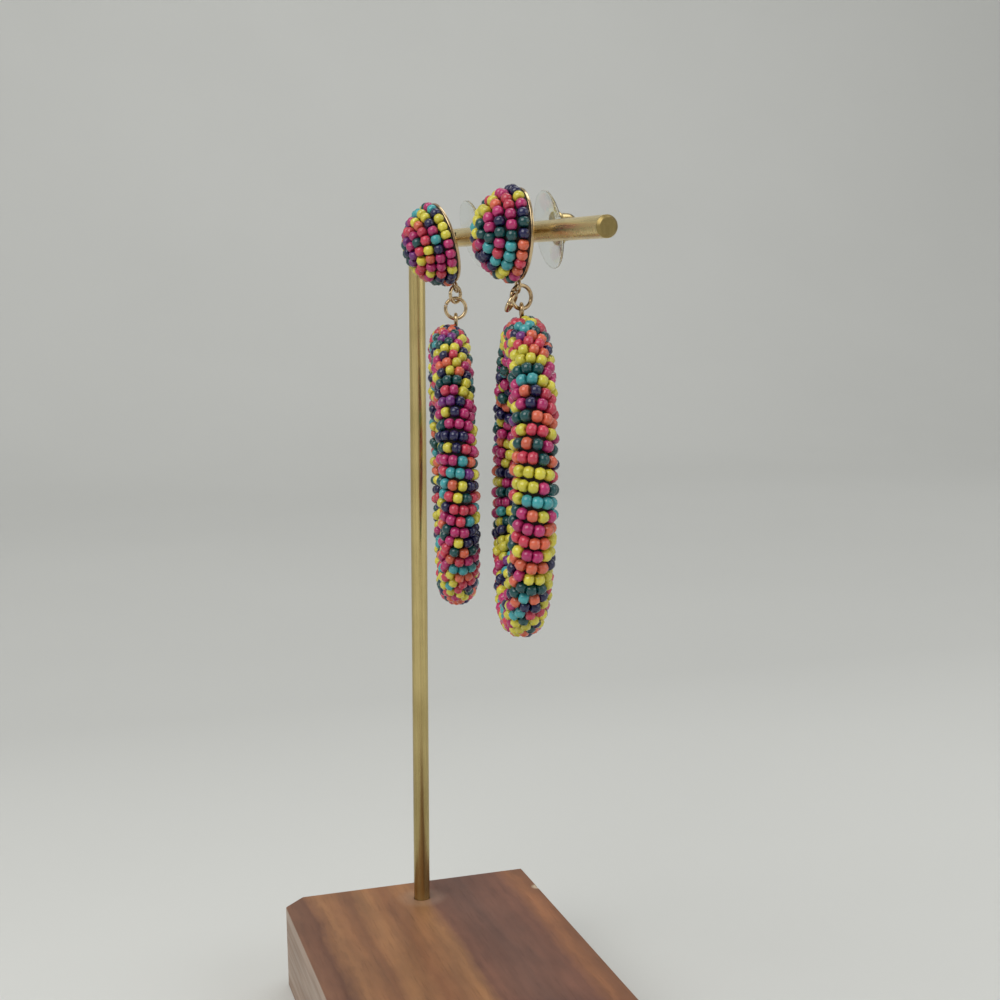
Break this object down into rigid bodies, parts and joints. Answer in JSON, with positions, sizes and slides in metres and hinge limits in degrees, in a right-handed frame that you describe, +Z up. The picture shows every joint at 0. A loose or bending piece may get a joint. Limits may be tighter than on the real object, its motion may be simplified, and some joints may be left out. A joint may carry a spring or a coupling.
{
  "type": "pair of beaded hoop earrings on an earring stand",
  "caption": "Beaded drop-hoop earrings with beaded dome studs, hanging from the cross bar of a plain brass and walnut earring stand.",
  "frame": {"origin": "centre of the walnut block's underside, on the surface that it stands on", "axes": "+Z up along the upright, the cross bar runs towards -Y, and the bead domes face -X"},
  "size_m": [0.0516, 0.104, 0.1549],
  "materials": {
    "walnut": "oiled walnut, satin, grain along the length",
    "brass_rod": "drawn brass rod, softly polished",
    "gold_metal": "pale gold plate, polished",
    "seed_beads": "opaque glass seed beads in many colours, glossy",
    "clear_plastic": "clear soft plastic, smooth"
  },
  "bodies": {
    "stand": {"walnut_block": "walnut", "brass_stand": "brass_rod", "near_stud": "gold_metal", "near_bead_dome": "seed_beads", "far_stud": "gold_metal", "far_bead_dome": "seed_beads"},
    "near_clutch": {"near_clutch_disc": "clear_plastic", "near_clutch_barrel": "gold_metal"},
    "near_rings": {"near_jump_ring": "gold_metal", "near_small_ring": "gold_metal"},
    "near_hoop": {"near_hoop_eye": "gold_metal", "near_bead_hoop": "seed_beads"},
    "far_clutch": {"far_clutch_disc": "clear_plastic", "far_clutch_barrel": "gold_metal"},
    "far_rings": {"far_small_ring": "gold_metal", "far_jump_ring": "gold_metal"},
    "far_hoop": {"far_hoop_eye": "gold_metal", "far_bead_hoop": "seed_beads"}
  },
  "joints": [
    {"name": "near_clutch_pull", "type": "slide", "parent": "stand", "child": "near_clutch", "axis": [0.9885, 0, 0.1513], "range_m": [0, 0.009]},
    {"name": "near_ring_swing", "type": "hinge", "parent": "stand", "child": "near_rings", "pos_m": [0.00256, -0.02304, 0.13927], "axis": [0, 1, 0], "range_deg": [-18, 0]},
    {"name": "near_hoop_swing", "type": "hinge", "parent": "near_rings", "child": "near_hoop", "pos_m": [0.00314, -0.02288, 0.1358], "axis": [-0.9715, 0.2368, 0], "range_deg": [-25, 25]},
    {"name": "far_clutch_pull", "type": "slide", "parent": "stand", "child": "far_clutch", "axis": [0.9653, 0.0337, 0.2588], "range_m": [0, 0.009]},
    {"name": "far_ring_swing", "type": "hinge", "parent": "stand", "child": "far_rings", "pos_m": [0.00277, 0.01327, 0.13998], "axis": [0, 1, 0], "range_deg": [0, 12]},
    {"name": "far_hoop_swing", "type": "hinge", "parent": "far_rings", "child": "far_hoop", "pos_m": [0.00277, 0.01327, 0.13436], "axis": [-0.9736, 0.2284, 0], "range_deg": [-6, 25]}
  ]
}
